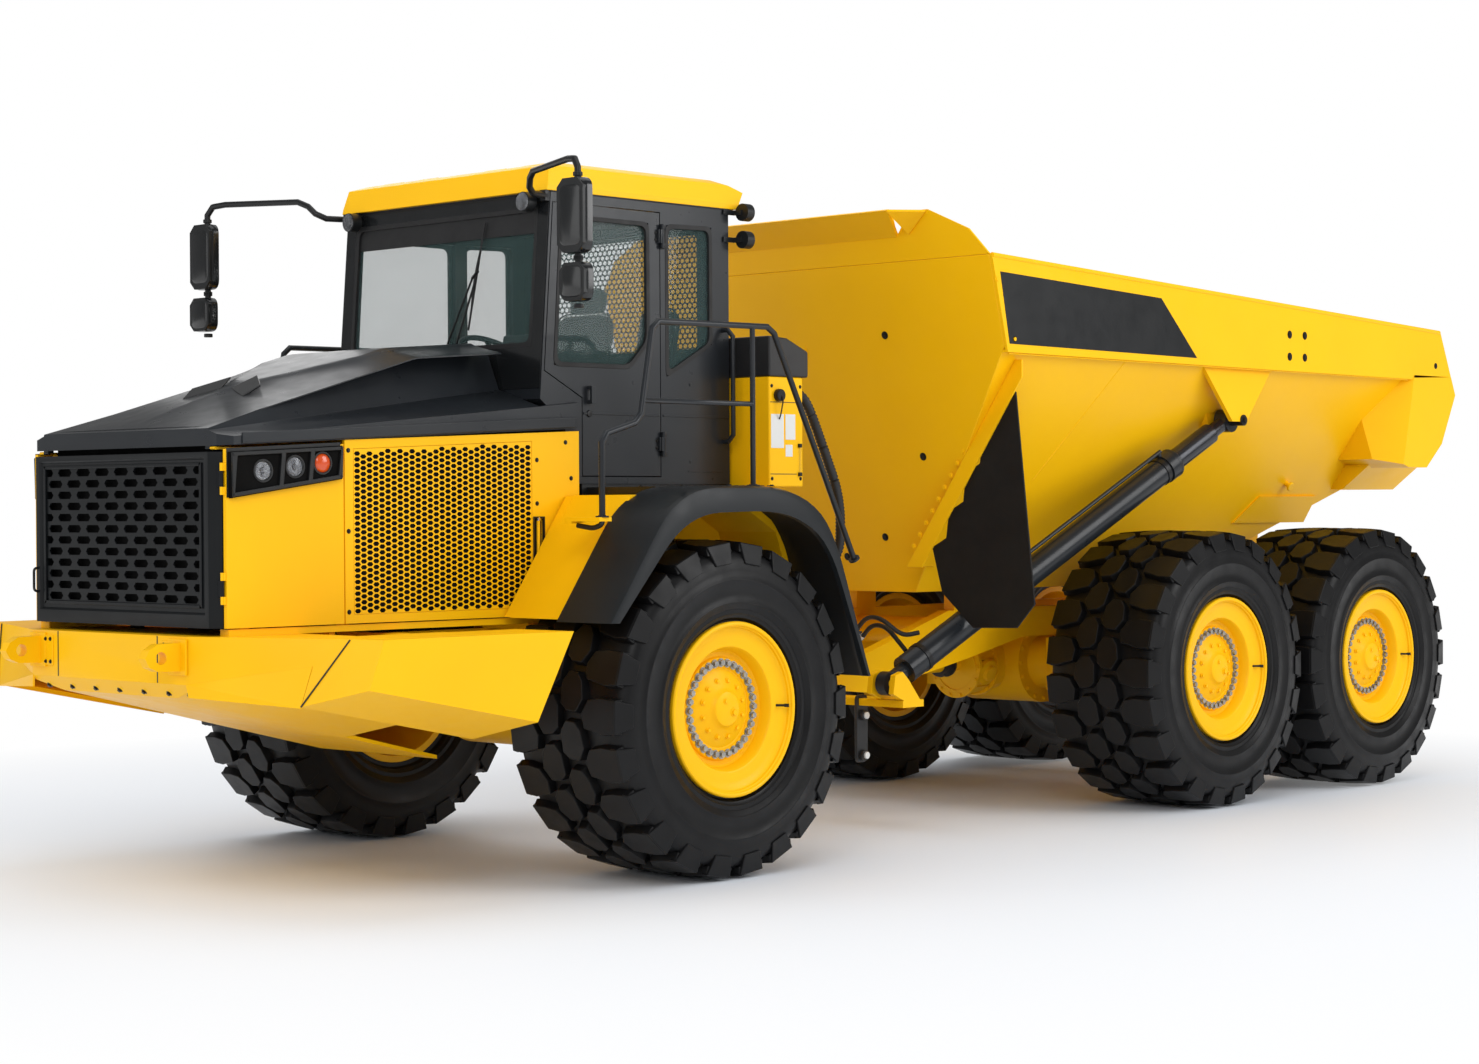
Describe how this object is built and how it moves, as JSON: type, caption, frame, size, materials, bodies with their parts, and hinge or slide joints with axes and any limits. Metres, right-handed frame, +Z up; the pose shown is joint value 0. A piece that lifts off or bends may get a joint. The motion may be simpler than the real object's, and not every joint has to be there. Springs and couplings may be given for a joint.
{
  "type": "articulated dump truck",
  "caption": "Yellow six-wheel articulated dump truck with a grey hood and cab, a steering hitch and a tipping load body.",
  "frame": {"origin": "bottom centre of the bounding box, on the ground", "axes": "+X to the machine's left, +Y to its rear (the front faces -Y), +Z up"},
  "size_m": [3.745, 11.05, 3.97],
  "materials": {
    "yellow_paint": "yellow enamel, low gloss",
    "slate_paint": "slate grey satin paint",
    "black_paint": "black chassis paint",
    "black_moulding": "black moulded plastic",
    "tyre_rubber": "worn matt tread",
    "rubber_sheet": "matt rubber sheet",
    "window_glass": "lightly tinted",
    "lamp_parts": "black bezels with clear and amber lenses",
    "engine_castings": "dark painted castings",
    "seat_cloth": "dark woven cloth",
    "rod_chrome": "polished hard chrome"
  },
  "bodies": {
    "tractor": {"front_frame": "black_paint", "front_axle": "engine_castings", "bumper": "yellow_paint", "engine_block": "engine_castings", "radiator": "black_paint", "nose_panels": "yellow_paint", "side_panels": "yellow_paint", "lamp_pods": "lamp_parts", "cab_shell": "slate_paint", "cab_glass": "window_glass", "cab_roof": "yellow_paint", "cab_base": "black_paint", "seats": "seat_cloth", "controls": "black_moulding", "work_lamps": "lamp_parts", "mirrors": "black_moulding", "fenders": "black_moulding", "fender_liners": "yellow_paint", "tank_boxes": "yellow_paint", "tank_covers": "black_moulding", "handrails": "black_paint"},
    "grille": {"grille_door": "yellow_paint"},
    "engine_hood": {"hood": "slate_paint"},
    "door": {"cab_door": "slate_paint", "door_glass": "window_glass"},
    "hitch": {"hitch": "yellow_paint"},
    "rear": {"rear_frame": "yellow_paint", "rear_axles": "yellow_paint", "walking_beams": "yellow_paint"},
    "bin": {"bin_shell": "yellow_paint", "bin_frame": "yellow_paint", "spill_guard": "yellow_paint", "flaps": "rubber_sheet", "flap_ledges": "yellow_paint"},
    "tip_barrel_left": {"tip_barrel_left": "yellow_paint"},
    "tip_barrel_right": {"tip_barrel_right": "yellow_paint"},
    "tip_rod_left": {"tip_rod_left": "rod_chrome"},
    "tip_rod_right": {"tip_rod_right": "rod_chrome"},
    "steer_barrel_left": {"steer_barrel_left": "yellow_paint"},
    "steer_barrel_right": {"steer_barrel_right": "yellow_paint"},
    "steer_rod_left": {"steer_rod_left": "rod_chrome"},
    "steer_rod_right": {"steer_rod_right": "rod_chrome"},
    "wheel_front_left": {"tyre_front_left": "tyre_rubber", "rim_front_left": "yellow_paint"},
    "wheel_front_right": {"tyre_front_right": "tyre_rubber", "rim_front_right": "yellow_paint"},
    "wheel_middle_left": {"tyre_middle_left": "tyre_rubber", "rim_middle_left": "yellow_paint"},
    "wheel_middle_right": {"tyre_middle_right": "tyre_rubber", "rim_middle_right": "yellow_paint"},
    "wheel_rear_left": {"tyre_rear_left": "tyre_rubber", "rim_rear_left": "yellow_paint"},
    "wheel_rear_right": {"tyre_rear_right": "tyre_rubber", "rim_rear_right": "yellow_paint"}
  },
  "joints": [
    {"name": "articulation", "type": "hinge", "parent": "tractor", "child": "hitch", "pos_m": [0, -0.925, 0.93], "axis": [0, 0, 1], "range_deg": [-42, 42]},
    {"name": "oscillation", "type": "hinge", "parent": "hitch", "child": "rear", "pos_m": [0, -0.425, 0.91], "axis": [0, 1, 0], "range_deg": [-15, 15]},
    {"name": "bin_tip", "type": "hinge", "parent": "rear", "child": "bin", "pos_m": [0, 4.525, 1.5], "axis": [-1, 0, 0], "range_deg": [0, 70]},
    {"name": "wheel_front_left_spin", "type": "hinge", "parent": "tractor", "child": "wheel_front_left", "pos_m": [1.435, -2.525, 0.93], "axis": [1, 0, 0], "continuous": true},
    {"name": "wheel_front_right_spin", "type": "hinge", "parent": "tractor", "child": "wheel_front_right", "pos_m": [-1.435, -2.525, 0.93], "axis": [1, 0, 0], "continuous": true},
    {"name": "wheel_middle_left_spin", "type": "hinge", "parent": "rear", "child": "wheel_middle_left", "pos_m": [1.435, 2.245, 0.93], "axis": [1, 0, 0], "continuous": true},
    {"name": "wheel_middle_right_spin", "type": "hinge", "parent": "rear", "child": "wheel_middle_right", "pos_m": [-1.435, 2.245, 0.93], "axis": [1, 0, 0], "continuous": true},
    {"name": "wheel_rear_left_spin", "type": "hinge", "parent": "rear", "child": "wheel_rear_left", "pos_m": [1.435, 4.195, 0.93], "axis": [1, 0, 0], "continuous": true},
    {"name": "wheel_rear_right_spin", "type": "hinge", "parent": "rear", "child": "wheel_rear_right", "pos_m": [-1.435, 4.195, 0.93], "axis": [1, 0, 0], "continuous": true},
    {"name": "cab_door_hinge", "type": "hinge", "parent": "tractor", "child": "door", "pos_m": [0.918, -2.142, 2.975], "axis": [0, 0, 1], "range_deg": [0, 45]},
    {"name": "grille_door_hinge", "type": "hinge", "parent": "tractor", "child": "grille", "pos_m": [0.852, -5.189, 1.88], "axis": [0, 0, 1], "range_deg": [0, 100]},
    {"name": "hood_hinge", "type": "hinge", "parent": "tractor", "child": "engine_hood", "pos_m": [0, -5.185, 2.345], "axis": [1, 0, 0], "range_deg": [0, 50]},
    {"name": "tip_barrel_left_pin", "type": "hinge", "parent": "rear", "child": "tip_barrel_left", "pos_m": [1.05, -0.325, 0.93], "axis": [-0.5661, -0.3285, 0.7561], "range_deg": [0, 3.93]},
    {"name": "tip_rod_left_stroke", "type": "slide", "parent": "tip_barrel_left", "child": "tip_rod_left", "axis": [0.1369, 0.867, 0.4791], "range_m": [0, 2.4167]},
    {"name": "tip_barrel_right_pin", "type": "hinge", "parent": "rear", "child": "tip_barrel_right", "pos_m": [-1.05, -0.325, 0.93], "axis": [-0.5661, 0.3285, -0.7561], "range_deg": [0, 3.93]},
    {"name": "tip_rod_right_stroke", "type": "slide", "parent": "tip_barrel_right", "child": "tip_rod_right", "axis": [-0.1369, 0.867, 0.4791], "range_m": [0, 2.4167]},
    {"name": "steer_barrel_left_pin", "type": "hinge", "parent": "tractor", "child": "steer_barrel_left", "pos_m": [0.5, -1.885, 0.985], "axis": [0, 0, 1], "range_deg": [-7.59, 7.59]},
    {"name": "steer_rod_left_stroke", "type": "slide", "parent": "steer_barrel_left", "child": "steer_rod_left", "axis": [-0.0804, 0.9968, 0], "range_m": [-0.3004, 0.3004]},
    {"name": "steer_barrel_right_pin", "type": "hinge", "parent": "tractor", "child": "steer_barrel_right", "pos_m": [-0.5, -1.885, 0.985], "axis": [0, 0, 1], "range_deg": [-7.59, 7.59]},
    {"name": "steer_rod_right_stroke", "type": "slide", "parent": "steer_barrel_right", "child": "steer_rod_right", "axis": [0.0804, 0.9968, 0], "range_m": [-0.3004, 0.3004]}
  ],
  "couplings": [
    {"joint": "tip_barrel_left_pin", "follows": "bin_tip", "ratio": 0.055949},
    {"joint": "tip_rod_left_stroke", "follows": "bin_tip", "m_per_rad": 1.9773},
    {"joint": "tip_barrel_right_pin", "follows": "bin_tip", "ratio": 0.055949},
    {"joint": "tip_rod_right_stroke", "follows": "bin_tip", "m_per_rad": 1.9773},
    {"joint": "steer_barrel_left_pin", "follows": "articulation", "ratio": 0.18048},
    {"joint": "steer_rod_left_stroke", "follows": "articulation", "m_per_rad": 0.40839},
    {"joint": "steer_barrel_right_pin", "follows": "articulation", "ratio": 0.18048},
    {"joint": "steer_rod_right_stroke", "follows": "articulation", "m_per_rad": -0.40839}
  ]
}
